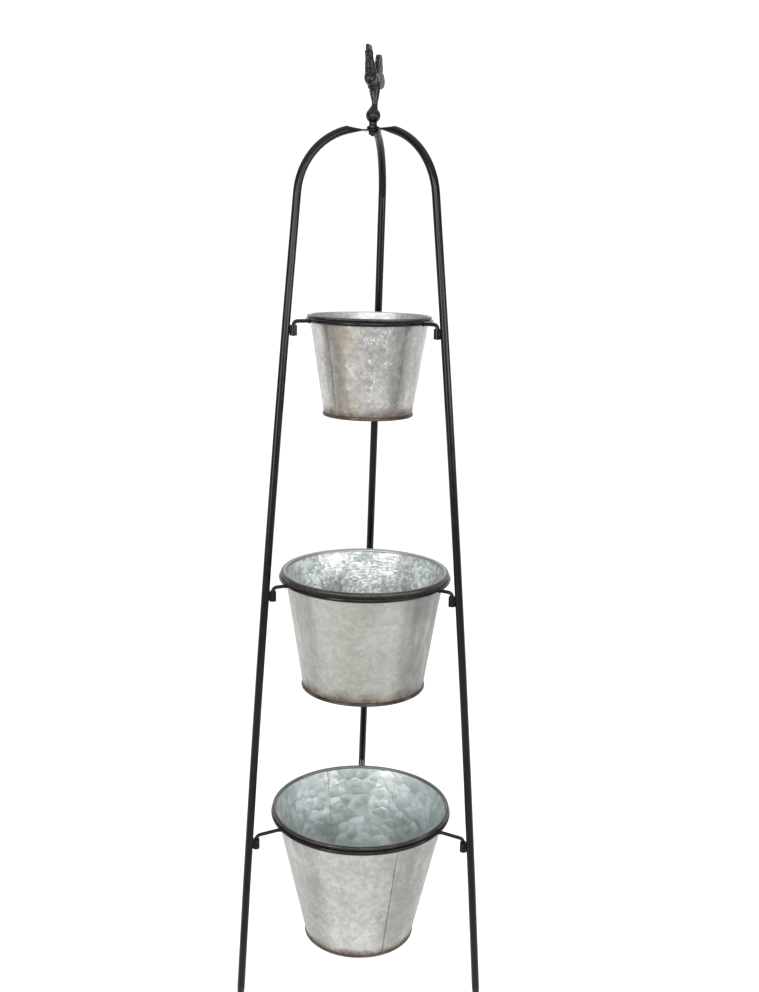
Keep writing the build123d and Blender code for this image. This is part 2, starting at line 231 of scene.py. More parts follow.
def galvanised(name, crystal, tints, contrast, tilt, polish, rust=None, stains_and_painted_shade=(), flecks=0.0, dome=0.0,
               seams=()):
    """Zinc coat: soft-edged crystals that each tilt the light a little, cloudy bloom and fine dark specks.

    crystal is the size of a crystal, tints its dark and its pale colour, contrast how far crystals differ,
    tilt how far they lean, polish the roughness range. rust is (height of the base, reach, strength).
    stains_and_painted_shade lists tinted sides as (azimuth, inner and outer half-angle in degrees, strength,
    dark and pale colour): the brown ones are stains, the grey ones painted shade. flecks adds curly pale
    marks, dome swells every crystal like a fish's scale, and seams lists (azimuth, strength) of dark lines of
    dirt."""
    g = Graph(name)
    drift = g.add("ShaderNodeTexNoise", Vector=g.place, Scale=0.5 / crystal, Detail=2.0)
    warp = g.vector("SUBTRACT", drift.outputs["Color"], (0.5, 0.5, 0.5))
    place = g.vector("ADD", g.place, g.vector("MULTIPLY", warp, (crystal,) * 3))
    cell = g.add("ShaderNodeTexVoronoi", {"feature": "SMOOTH_F1"}, Vector=place, Scale=1 / crystal,
                 Smoothness=0.5 if dome else 0.7)
    lean = g.vector("SUBTRACT", cell.outputs["Color"], (0.5, 0.5, 0.5))
    facet = g.vector("DOT_PRODUCT", lean, g.vector("SUBTRACT", place, cell.outputs["Position"]))
    shade = g.add("ShaderNodeSeparateColor", Color=cell.outputs["Color"])
    frost = g.noise(2.6 / crystal, 5, 0.7)
    bloom = g.noise(15, 4, 0.55)
    tone = g.math("MULTIPLY_ADD", shade.outputs[0], contrast, g.math("MULTIPLY", frost, 0.75 - contrast))
    tone = g.math("MULTIPLY_ADD", bloom, 0.5, tone)
    colour = g.mix(g.ramp(tone, 0.38, 0.88), *tints)
    specks = g.ramp(g.noise(330, 5, 0.75), 0.58, 0.72, 0.0, 0.45)
    colour = g.mix(specks, colour, SPECK)
    streaks = g.noise(70, 4, 0.6, g.stretched((1, 1, 0.10)))
    colour = g.mix(g.ramp(streaks, 0.50, 0.78, 0.0, 0.20), colour, STREAK)
    roughness = g.ramp(shade.outputs[1], 0, 1, *polish)
    metallic = ZINC_METALLIC
    if flecks:
        curl = g.math("ABSOLUTE", g.math("SUBTRACT", g.noise(140, 1.5, 0.5), 0.52))
        marks = g.math("MULTIPLY", g.ramp(curl, 0.028, 0.006), g.ramp(g.noise(60, 2, 0.6), 0.50, 0.60))
        marks = g.math("MULTIPLY", marks, g.facing(*FLECKED_SIDE))
        colour = g.mix(g.math("MULTIPLY", marks, flecks), colour, FLECK)
    # The grey tints darken a side as painted shade, where the studio reflects darker; the brown ones are
    # stains.
    for azimuth, narrow, wide, strength, dark, pale in stains_and_painted_shade:
        side = g.facing(radians(azimuth), radians(narrow), radians(wide))
        blotches = g.noise(30, 5, 0.62, g.stretched((1, 1, 0.30), (azimuth, 0, 0)))
        ragged = g.ramp(blotches, 0.28, 0.56, 0.25, 1.0)
        tone = g.mix(g.noise(60, 3), dark, pale)
        colour = g.mix(g.math("MULTIPLY", g.math("MULTIPLY", side, ragged), strength), colour, tone)
    for azimuth, strength in seams:
        across = g.vector("DOT_PRODUCT", g.place, (-sin(azimuth), cos(azimuth), 0))
        line = g.ramp(g.math("ABSOLUTE", across), *SEAM_LINE)
        line = g.math("MULTIPLY", line, g.facing(azimuth, radians(10), radians(12)))
        line = g.math("MULTIPLY", line, g.ramp(g.noise(45, 3, 0.6), 0.30, 0.60, 0.3 * strength, strength))
        colour = g.mix(line, colour, SEAM_DIRT)
    if rust:
        base, reach, strength = rust
        uneven = g.math("SUBTRACT", g.noise(28, 5, 0.65), 0.5)
        ragged = g.math("MULTIPLY_ADD", uneven, reach * 1.6, g.height())
        grown = g.ramp(ragged, base + HEM_HEIGHT + reach, base + HEM_HEIGHT, 0.0, strength)
        colour = g.mix(grown, colour, g.mix(g.ramp(g.noise(110, 4), 0.35, 0.65), *RUST))
        roughness = g.math("MULTIPLY_ADD", grown, 0.2, roughness)
        metallic = g.ramp(grown, 0, 1, ZINC_METALLIC, RUST_METALLIC)
    normal = g.bump(g.noise(1.6 / crystal, 3, 0.55), 0.06 * MM)
    if dome:
        normal = g.bump(cell.outputs["Distance"], -dome, 1.0, normal)
    normal = g.bump(g.math("MULTIPLY", facet, tilt), 1.0, 1.0, normal)
    return g.finish(Base_Color=colour, Metallic=metallic, Roughness=roughness, Normal=normal)


def bead_centre(tier):
    """Distance from the stand's axis to the middle of a bucket's rolled rim."""
    low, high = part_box(f"bucket_{tier}_rim")
    return (high.x - low.x) / 2 - (high.z - low.z) / 2


BLACK = powder_coat()
CASTING = cast_black()
FIXING = dark_fixing()
FOOT = foot_plastic()
WIRE = plain_wire()
RIM = {
    "top": burnished("burnished_rim_top", rgb(0.035, 0.035, 0.032), rgb(0.10, 0.10, 0.092),
                     rgb(0.22, 0.22, 0.20), bead_centre("top"), (0.46, 0.46, 0.45)),
    "middle": burnished("burnished_rim_middle", rgb(0.034, 0.028, 0.025), rgb(0.085, 0.072, 0.064),
                        rgb(0.17, 0.155, 0.148), bead_centre("middle"), (0.32, 0.325, 0.32)),
    "bottom": burnished("burnished_rim_bottom", rgb(0.026, 0.020, 0.018), rgb(0.060, 0.048, 0.043),
                        rgb(0.13, 0.118, 0.113), bead_centre("bottom"), (0.14, 0.146, 0.144)),
}
HEM = burnished("burnished_hem", rgb(0.036, 0.027, 0.021), rgb(0.10, 0.080, 0.064), rgb(0.21, 0.19, 0.175))
BASE_Z = {tier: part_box(f"bucket_{tier}_base_ring")[0].z for tier in TIERS}
BROWN = (rgb(0.21, 0.173, 0.126), rgb(0.39, 0.345, 0.275))
# Grey for painted shade on the sides of the buckets.
GREY = (rgb(0.16, 0.158, 0.152), rgb(0.26, 0.257, 0.248))
# Of each bucket's side tints, the grey ones are painted shade and the brown ones are stains.
OUTSIDE = {
    "top": galvanised(
        "galvanised_top", 6 * MM, (rgb(0.355, 0.351, 0.334), rgb(0.59, 0.586, 0.566)), 0.26, 0.025,
        (0.26, 0.36), rust=(BASE_Z["top"], 17 * MM, 0.9), flecks=1.0,
        stains_and_painted_shade=((240, 7, 27, 0.66, *BROWN), (305, 5, 18, 0.62, *GREY), (222, 1, 8, 0.5, *GREY),
                (332, 4, 24, 0.30, *GREY)),
        seams=((SEAM["top"], 0.7),)),
    "middle": galvanised(
        "galvanised_middle", 6 * MM, (rgb(0.365, 0.369, 0.341), rgb(0.54, 0.542, 0.511)), 0.21, 0.02,
        (0.40, 0.50), rust=(BASE_Z["middle"], 22 * MM, 0.9),
        stains_and_painted_shade=((262, 6, 30, 0.14, *BROWN), (212, 4, 22, 0.50, *GREY), (338, 18, 46, 0.90, *GREY))),
    "bottom": galvanised(
        "galvanised_bottom", 7 * MM, (rgb(0.375, 0.379, 0.354), rgb(0.60, 0.604, 0.575)), 0.22, 0.02,
        (0.38, 0.50), rust=(BASE_Z["bottom"], 13 * MM, 0.9),
        stains_and_painted_shade=((216, 12, 34, 0.52, *GREY), (324, 12, 48, 0.66, *GREY)),
        seams=((SEAM["bottom"] + pi, 0.6),)),
}
INSIDE = {
    "top": galvanised(
        "galvanised_top_inside", 5 * MM, (rgb(0.43, 0.44, 0.42), rgb(0.62, 0.63, 0.61)), 0.35, 0.06,
        (0.42, 0.52)),
    "middle": galvanised(
        "galvanised_middle_inside", 5 * MM, (rgb(0.41, 0.438, 0.435), rgb(0.83, 0.864, 0.864)), 0.45, 0.09,
        (0.28, 0.40)),
    "bottom": galvanised(
        "galvanised_bottom_inside", 16 * MM, (rgb(0.44, 0.475, 0.47), rgb(0.70, 0.745, 0.745)), 0.32, 0.04,
        (0.36, 0.46), dome=0.6 * MM, seams=((SEAM["bottom"], 0.75), (SEAM["bottom"] + pi, 0.3))),
}


# ---- mesh helpers -----------------------------------------------------------------------------------
def finish_mesh(name, mesh, materials, body, replaced=()):
    """Wrap a mesh in an object that rides on a body and stands in for the replaced CAD nodes."""
    for material in materials:
        mesh.materials.append(material)
    for polygon in mesh.polygons:
        polygon.use_smooth = True
    piece = bpy.data.objects.new(name, mesh)
    scene.collection.objects.link(piece)
    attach(piece, body)
    if replaced:
        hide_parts(*replaced)


def grid_mesh(name, rings, closed_round=True):
    """Mesh from rings of points, each ring closed. closed_round joins the last ring to the first."""
    count = len(rings[0])
    vertices = [point for ring in rings for point in ring]
    faces = []
    for i in range(len(rings) if closed_round else len(rings) - 1):
        following = (i + 1) % len(rings)
        for j in range(count):
            k = (j + 1) % count
            faces.append((i * count + j, following * count + j, following * count + k, i * count + k))
    mesh = bpy.data.meshes.new(name)
    mesh.from_pydata([tuple(vertex) for vertex in vertices], [], faces)
    mesh.validate()
    return mesh


def lathe(name, section, azimuths, warp=None):
    """Revolve section, a list of (radius, height), about the stand's axis. warp may shift each point."""
    rings = []
    for azimuth in azimuths:
        ring = []
        for index, (radius, height) in enumerate(section):
            if warp:
                radius, height = warp(index, radius, height, azimuth)
            ring.append(AXIS + Vector((radius * cos(azimuth), radius * sin(azimuth), height)))
        rings.append(ring)
    return grid_mesh(name, rings)


def even_turn(count):
    """Angles that divide a full turn into count equal steps."""
    return [tau * step / count for step in range(count)]


def wobble(azimuth, height, period, seed):
    """Smooth noise, about -1 to 1, over a surface of revolution. period is in metres at 0.1 m radius."""
    reach = 0.1 / period
    place = Vector((reach * cos(azimuth), reach * sin(azimuth), height / period + 17.0 * seed))
    return noise.noise(place) * 1.6


def rod_mesh(name, points, radii, sides=14):
    """Tube with capped ends along points. radii has one radius for each point."""
    rings = []
    side_hint = Vector((0.31, 0.77, 0.55))
    for index, point in enumerate(points):
        ahead = points[min(index + 1, len(points) - 1)] - points[max(index - 1, 0)]
        ahead.normalize()
        across = ahead.cross(side_hint).normalized()
        up = ahead.cross(across)
        rings.append([point + (across * cos(angle) + up * sin(angle)) * radii[index]
                      for angle in even_turn(sides)])
    mesh = grid_mesh(name, rings, closed_round=False)
    solid = bmesh.new()
    solid.from_mesh(mesh)
    bmesh.ops.contextual_create(solid, geom=[edge for edge in solid.edges if edge.is_boundary])
    bmesh.ops.holes_fill(solid, edges=[edge for edge in solid.edges if edge.is_boundary], sides=0)
    bmesh.ops.recalc_face_normals(solid, faces=solid.faces)
    solid.to_mesh(mesh)
    solid.free()
    return mesh


# ---- CAD nodes that keep their shape ----------------------------------------------------------------
def dress(node, material):
    """Give every face of a CAD node one material."""
    for slot in frame["nodes"][node].material_slots:
        slot.material = material


for node in frame["nodes"]:
    if node.startswith(("leg", "socket", "hoop", "arm")):
        dress(node, BLACK)
    elif node.startswith("foot_tip"):
        dress(node, FOOT)
    elif node in ("hub_nut", "finial_stud"):
        dress(node, FIXING)
    elif node in ("finial_ball", "finial_collar", "cockerel"):
        dress(node, CASTING)
    elif node.endswith("rim_wire"):
        dress(node, WIRE)
    elif node.startswith("bucket"):
        dress(node, OUTSIDE[node.split("_")[1]])


# ---- buckets ----------------------------------------------------------------------------------------
class Bucket:
    """Sizes of one bucket, read from the CAD nodes' boxes."""

    def __init__(self, tier):
        self.tier = tier
        rim_low, rim_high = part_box(f"bucket_{tier}_rim")
        base_low, base_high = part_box(f"bucket_{tier}_base")
        ring_low, ring_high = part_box(f"bucket_{tier}_base_ring")
        self.bead_r = (rim_high.z - rim_low.z) / 2
        self.bead_z = (rim_high.z + rim_low.z) / 2
        self.bead_centre = (rim_high.x - rim_low.x) / 2 - self.bead_r
        self.pan_r, self.pan_top = (base_high.x - base_low.x) / 2, base_high.z
        self.ring_r, self.ring_low, self.ring_high = (ring_high.x - ring_low.x) / 2, ring_low.z, ring_high.z
        self.top_r = self.bead_centre - self.bead_r + 0.3 * MM
        self.body = f"bucket_{tier}"

    def wall(self, z):
        """Outer radius of the wall at height z."""
        rise = (z - self.pan_top) / (self.bead_z - self.bead_r - self.pan_top)
        return self.pan_r + SHEET + (self.top_r - self.pan_r - SHEET) * rise


SEAM_WIDTH = 7.0 * MM
SEAM_STEP = 0.85 * MM
SEAM_FADE = 1.2              # how many seam widths the step takes to die out
DENT = 0.55 * MM
WALL_ROWS = 46
WALL_STEPS, RIM_STEPS, HEM_STEPS, PAN_STEPS = 288, 256, 240, 144     # round the bucket


def seam_azimuths(bucket):
    """Even steps round the bucket, with finer ones across its two seams."""
    seams = [SEAM[bucket.tier] % tau, (SEAM[bucket.tier] + pi) % tau]
    width = SEAM_WIDTH / bucket.top_r
    turn = set(even_turn(WALL_STEPS))
    for seam in seams:
        turn = {a for a in turn if not -0.3 * width < (a - seam + pi) % tau - pi < 1.3 * width}
        turn |= {(seam + width * share) % tau for share in
                 (-0.2, -0.1, -0.04, 0, 0.04, 0.08, 0.12, 0.25, 0.4, 0.6, 0.8, 1.0, 1.2)}
    return sorted(turn)


def seam_lift(bucket, azimuth, z):
    """How far the lock seam stands out: a sharp step at one edge that fades out over its width."""
    if z > bucket.bead_z - 3.2 * bucket.bead_r:
        return 0.0
    width = SEAM_WIDTH / bucket.top_r
    for seam in (SEAM[bucket.tier], SEAM[bucket.tier] + pi):
        along = ((azimuth - seam + pi) % tau - pi) / width
        if 0 <= along <= SEAM_FADE:
            return SEAM_STEP * min(1.0, along / 0.08) * max(0.0, 1 - (along / SEAM_FADE) ** 2)
    return 0.0


def build_wall(bucket):
    """Tapered sheet wall with a little unevenness and a folded seam on either side."""
    low, high = bucket.ring_low + 1.2 * MM, bucket.bead_z
    heights = [low + (high - low) * row / WALL_ROWS for row in range(WALL_ROWS + 1)]
    outer = [(bucket.wall(z), z) for z in heights]
    inner = [(bucket.wall(z) - SHEET, z) for z in reversed(heights)]
    seed = TIERS.index(bucket.tier) + 1

    def warp(index, radius, z, azimuth):
        rise = (z - low) / (high - low)
        fade = min(1.0, 4 * rise, 6 * (1 - rise))
        waves = wobble(azimuth, z, 0.085, seed) + 0.35 * wobble(azimuth, z, 0.03, seed + 5)
        lift = seam_lift(bucket, azimuth, z)
        return radius + DENT * max(0.0, fade) * waves + (lift if index <= WALL_ROWS else -0.6 * lift), z

    mesh = lathe("wall", outer + inner, seam_azimuths(bucket), warp)
    finish_mesh(f"bucket_{bucket.tier}_wall", mesh, (OUTSIDE[bucket.tier], INSIDE[bucket.tier]), bucket.body,
                [f"bucket_{bucket.tier}_shell_front", f"bucket_{bucket.tier}_shell_rear"])
    count = 2 * (WALL_ROWS + 1)
    for number, polygon in enumerate(mesh.polygons):
        polygon.material_index = 1 if WALL_ROWS < number % count < count - 1 else 0
    mesh.set_sharp_from_angle(angle=radians(50))


def build_rim(bucket):
    """The sheet's edge rolled outwards round a wire, not quite even, with its raw end tucked under."""
    start, end, steps = radians(205), radians(-118), 30
    outer = [(bucket.bead_r, start + (end - start) * step / steps) for step in range(steps + 1)]
    inner = [(bucket.bead_r - SHEET, angle) for _, angle in reversed(outer)]
    section = [(bucket.bead_centre + r * cos(angle), bucket.bead_z + r * sin(angle))
               for r, angle in outer + inner]
    seed = TIERS.index(bucket.tier) + 11

    def warp(index, radius, z, azimuth):
        above = max(0.0, (z - bucket.bead_z) / bucket.bead_r)
        rise = 0.35 * MM * (0.5 + 0.5 * wobble(azimuth, 0, 0.09, seed)) * above
        return radius + 0.12 * MM * wobble(azimuth, z, 0.05, seed + 3), z + rise

    mesh = lathe("rim", section, even_turn(RIM_STEPS), warp)
    finish_mesh(f"bucket_{bucket.tier}_rolled_rim", mesh, (RIM[bucket.tier],), bucket.body,
                [f"bucket_{bucket.tier}_rim"])
    mesh.set_sharp_from_angle(angle=radians(60))


def build_hem(bucket):
    """Hemmed ring round the foot of the wall, rolled in at the bottom and beaded above."""
    foot, top = bucket.ring_low, bucket.ring_high
    ring, inside = bucket.ring_r, bucket.pan_r
    section = [(inside - 1.5 * MM, foot + 0.2 * MM), (inside - 0.9 * MM, foot),
               (ring - 2.2 * MM, foot), (ring - 1.0 * MM, foot + 0.25 * MM),
               (ring - 0.2 * MM, foot + 0.9 * MM), (ring, foot + 1.8 * MM),
               (ring - 0.25 * MM, foot + 2.6 * MM), (ring - 0.75 * MM, foot + 3.1 * MM),
               (ring - 0.55 * MM, foot + 3.7 * MM), (ring - 0.6 * MM, foot + 4.5 * MM),
               (bucket.wall(top) + 0.75 * MM, top - 0.5 * MM), (bucket.wall(top) + 0.3 * MM, top - 0.05 * MM),
               (bucket.wall(top) - 0.2 * MM, top), (bucket.wall(foot) + 0.1 * MM, foot + 1.3 * MM),
               (inside - 0.7 * MM, foot + 1.1 * MM), (inside - 1.5 * MM, foot + 0.9 * MM)]
    seed = TIERS.index(bucket.tier) + 21

    def uneven(index, radius, z, azimuth):
        shift = 0.18 * MM * wobble(azimuth, z, 0.06, seed)
        return radius + min(0.0, shift - 0.1 * MM), z

    mesh = lathe("hem", section, even_turn(HEM_STEPS), uneven)
    finish_mesh(f"bucket_{bucket.tier}_hem", mesh, (HEM,), bucket.body,
                [f"bucket_{bucket.tier}_base_ring"])


def build_pan(bucket):
    """Base pan with two rings stamped in it and its edge turned down."""
    foot, floor_z, inside = bucket.ring_low, bucket.pan_top, bucket.pan_r
    upper = [(0.4 * MM, floor_z - 0.9 * MM), (inside * 0.30, floor_z - 0.9 * MM),
             (inside * 0.33, floor_z - 0.3 * MM), (inside * 0.36, floor_z - 0.3 * MM),
             (inside * 0.39, floor_z - 0.9 * MM), (inside * 0.74, floor_z - 0.9 * MM),
             (inside * 0.77, floor_z - 0.1 * MM), (inside - 0.6 * MM, floor_z),
             (inside - 0.1 * MM, floor_z - 0.6 * MM)]
    under = [(inside - 0.3 * MM, foot + 1.3 * MM), (inside - 1.1 * MM, foot + 1.3 * MM)]
    under += [(radius if radius < inside - MM else inside - 1.1 * MM, z - SHEET)
              for radius, z in upper[-2::-1]]
    seed = TIERS.index(bucket.tier) + 28

    def dished(index, radius, z, azimuth):
        if radius >= 0.8 * inside:
            return radius, z
        return radius, z + 0.25 * MM * wobble(azimuth, radius, 0.05, seed) * min(1.0, radius / inside * 2)

    mesh = lathe("pan", upper + under, even_turn(PAN_STEPS), dished)
    finish_mesh(f"bucket_{bucket.tier}_pan", mesh, (INSIDE[bucket.tier],), bucket.body,
                [f"bucket_{bucket.tier}_base"])


# ---- welds and hub ----------------------------------------------------------------------------------
BEAD_LENGTH, BEAD_R = 13 * MM, 1.7 * MM      # the beads between a socket and its leg
BEAD_ASIDE = 3.4 * MM                        # from the middle of the tab to a bead on either side of it
BEAD_STEPS = 24


def pin_place(tier, side):
    """Centre of an arm's pin, and the unit vector from the stand's axis out to it."""
    low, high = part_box(f"arm_{tier}_{side}")
    middle = (low + high) / 2 - AXIS
    x = high.x - ARM_R if middle.x > 0 else low.x + ARM_R
    y = high.y - ARM_R if middle.y > 0 else low.y + ARM_R
    pin = Vector((x, y, 0))
    return pin, (pin - AXIS).normalized()


def weld(name, points, radius, body):
    """Rippled bead of weld metal along points."""
    shares = [index / (len(points) - 1) for index in range(len(points))]
    radii = [radius * (0.35 + 0.65 * min(1.0, 3 * share, 3 * (1 - share)) + 0.10 * sin(38 * share))
             for share in shares]
    finish_mesh(name, rod_mesh(name, points, radii), (BLACK,), body)


def build_welds(tier, side):
    """Two beads between a socket and its leg, and one round the end of the arm on its hoop."""
    pin, out = pin_place(tier, side)
    across = Vector((-out.y, out.x, 0))
    socket_low, socket_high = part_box(f"socket_{tier}_{side}")
    middle = (socket_low.z + socket_high.z) / 2
    for hand, turn in (("a", -1), ("b", 1)):
        start = pin + out * (0.47 * LEG_TO_PIN) + across * (turn * BEAD_ASIDE)
        points = [start + Vector((0, 0, middle + (step / BEAD_STEPS - 0.5) * BEAD_LENGTH))
                  for step in range(BEAD_STEPS + 1)]
        weld(f"weld_socket_{tier}_{side}_{hand}", points, BEAD_R, "stand")
    hoop_low, hoop_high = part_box(f"hoop_{tier}")
    hoop_r, hoop_z = (hoop_high.x - hoop_low.x) / 2, (hoop_high.z + hoop_low.z) / 2
    joint = AXIS + out * (hoop_r + 0.2 * MM) + Vector((0, 0, hoop_z))
    rings = []
    for angle in even_turn(32):
        outward = across * cos(angle) + Vector((0, 0, sin(angle)))
        size = (1.25 + 0.18 * sin(9 * angle)) * MM
        point = joint + outward * (ARM_R + 0.1 * MM)
        rings.append([point + (outward * cos(turn) + out * sin(turn)) * size for turn in even_turn(10)])
    finish_mesh(f"weld_hoop_{tier}_{side}", grid_mesh("weld", rings), (BLACK,), f"ring_{tier}")


def build_nut():
    """Hexagon nut with its corners turned off at both ends."""
    low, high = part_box("hub_nut")
    flat_r, depth = (high.y - low.y) / 2, high.z - low.z
    heights = [0, 0.12, 0.3, 0.7, 0.88, 1.0]
    section = [(NUT_BORE_R, low.z + 0.4 * MM)] + [(flat_r, low.z + depth * share) for share in heights]
    section += [(NUT_BORE_R, high.z - 0.4 * MM)]

    def hexagon(index, radius, z, azimuth):
        if radius < flat_r:
            return radius, z
        corner = flat_r / cos((azimuth + pi / 6) % (pi / 3) - pi / 6)
        from_end = min(z - low.z, high.z - z)
        return min(corner, flat_r * 0.985 + 1.7 * from_end), z

    mesh = lathe("nut", section, even_turn(120), hexagon)
    finish_mesh("hub_hexagon_nut", mesh, (FIXING,), "stand", ["hub_nut"])
    mesh.set_sharp_from_angle(angle=radians(20))


def build_stud():
    """Stud with a helical thread, thinner at its foot."""
    low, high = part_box("finial_stud")
    radius, pitch, depth = (high.x - low.x) / 2, 1.25 * MM, 0.6 * MM
    rows = ceil((high.z - low.z) / pitch) * 8
    section = [(0.05 * MM, low.z)]
    section += [(radius, low.z + (high.z - low.z) * row / rows) for row in range(rows + 1)]
    section += [(0.05 * MM, high.z)]

    def thread(index, r, z, azimuth):
        if r < radius:
            return r, z
        phase = (z / pitch - azimuth / tau) % 1
        taper = min(1.0, 0.75 + 0.25 * (z - low.z) / MM)
        return (radius - depth * abs(2 * phase - 1)) * taper, z

    finish_mesh("finial_threaded_stud", lathe("stud", section, even_turn(48), thread), (FIXING,), "finial",
                ["finial_stud"])


def build_ball():
    """Ball with a drawn-up neck, on a turned collar, as one casting in two pieces."""
    low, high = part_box("finial_ball")
    collar_low, collar_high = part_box("finial_collar")
    radius, middle = (high.z - low.z) / 2, (high.z + low.z) / 2
    steps, shoulder = 40, radians(38)
    section = []
    for step in range(steps + 1):
        angle = -pi / 2 + pi * step / steps
        r, z = radius * cos(angle), middle + radius * sin(angle)
        neck = 5.2 * MM + max(0.0, middle + 1.08 * radius - z) * 0.62
        if angle > shoulder:
            r = max(r, min(neck, radius * cos(shoulder)))
        section.append((max(r, 0.05 * MM), z))

    def seam(index, r, z, azimuth):
        ridge = 0.28 * MM * max(0.0, 1 - abs(sin(azimuth - COCKEREL_AZIMUTH)) * 22)
        return r + ridge * min(1.0, r / (3 * MM)), z

    finish_mesh("finial_onion_ball", lathe("ball", section, even_turn(128), seam), (CASTING,), "finial",
                ["finial_ball"])
    r, floor_z, top = (collar_high.x - collar_low.x) / 2, collar_low.z, collar_high.z
    section = [(0.4 * MM, floor_z), (r - 0.8 * MM, floor_z), (r - 0.2 * MM, floor_z + 0.3 * MM),
               (r, floor_z + 1.0 * MM), (r, floor_z + 1.9 * MM), (r - 0.5 * MM, floor_z + 2.5 * MM),
               (r - 0.6 * MM, floor_z + 3.0 * MM), (r - 0.5 * MM, top - 1.6 * MM),
               (r - 0.1 * MM, top - 1.0 * MM), (r, top - 0.3 * MM), (r - 0.3 * MM, top), (0.4 * MM, top)]
    finish_mesh("finial_turned_collar", lathe("collar", section, even_turn(96)), (CASTING,), "finial",
                ["finial_collar"])


# ---- cockerel ---------------------------------------------------------------------------------------
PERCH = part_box("cockerel")[0].z
VOXEL = 0.65 * MM            # grid that fuses the lumps
RELAX_STEPS = 10             # how often the fused skin is smoothed
GRAIN = 0.15 * MM            # how far the casting's skin wanders in and out
AHEAD = Vector((cos(COCKEREL_AZIMUTH), sin(COCKEREL_AZIMUTH), 0))
ASIDE = Vector((-sin(COCKEREL_AZIMUTH), cos(COCKEREL_AZIMUTH), 0))


def bird(ahead, aside, up):
    """Point in the cockerel's own millimetres: ahead of its axis, aside to its left, up from its foot."""
    return AXIS + AHEAD * (ahead * MM) + ASIDE * (aside * MM) + Vector((0, 0, PERCH + up * MM))


class Clay:
    """Overlapping closed lumps, in the cockerel's own millimetres, fused into one skin at the end."""

    def __init__(self):
        self.vertices, self.faces = [], []
        ball = bmesh.new()
        bmesh.ops.create_icosphere(ball, subdivisions=2, radius=1.0)
        self.ball_vertices = [vertex.co.copy() for vertex in ball.verts]
        self.ball_faces = [[vertex.index for vertex in face.verts] for face in ball.faces]
        ball.free()
        self.turn = Matrix((AHEAD, ASIDE, Vector((0, 0, 1)))).transposed().to_4x4()

    def blob(self, centre, radii, pitch=0.0):
        """Ellipsoid of the given half-sizes, nose up by pitch in degrees."""
        place = Matrix.Translation(bird(*centre)) @ self.turn @ Matrix.Rotation(radians(-pitch), 4, "Y")
        place = place @ Matrix.Diagonal(Vector(radii) * MM).to_4x4()
        start = len(self.vertices)
        self.vertices += [place @ vertex for vertex in self.ball_vertices]
        self.faces += [[start + index for index in face] for face in self.ball_faces]

    def limb(self, points, radii, flat=1.0, steps=7):
        """Overlapping ellipsoids along a line through points; flat thins them sideways."""
        for index in range(len(points) - 1):
            for step in range(steps):
                share = step / steps
                radius = radii[index] + (radii[index + 1] - radii[index]) * share
                self.blob(Vector(points[index]).lerp(Vector(points[index + 1]), share),
                          (radius, radius * flat, radius))

    def slab(self, outline, aside, thickness):
        """Flat plate with the given outline of (ahead, up) points, centred at aside."""
        start, count = len(self.vertices), len(outline)
        for half in (-thickness / 2, thickness / 2):
            self.vertices += [bird(ahead, aside + half, up) for ahead, up in outline]
        self.faces.append([start + index for index in range(count)])
        self.faces.append([start + count + index for index in reversed(range(count))])
        for index in range(count):
            after = (index + 1) % count
            self.faces.append([start + after, start + index, start + count + index, start + count + after])

    def fused(self):
        """One smooth skin round all the lumps, as a new mesh."""
        mesh = bpy.data.meshes.new("clay")
        mesh.from_pydata([tuple(vertex) for vertex in self.vertices], [], self.faces)
        lump = bpy.data.objects.new("clay", mesh)
        scene.collection.objects.link(lump)
        remesh = lump.modifiers.new("fuse", "REMESH")
        remesh.mode = "VOXEL"
        remesh.voxel_size = VOXEL
        relax = lump.modifiers.new("relax", "SMOOTH")
        relax.factor = 0.5
        relax.iterations = RELAX_STEPS
        skin = bpy.data.meshes.new_from_object(lump.evaluated_get(bpy.context.evaluated_depsgraph_get()))
        bpy.data.objects.remove(lump)
        return skin


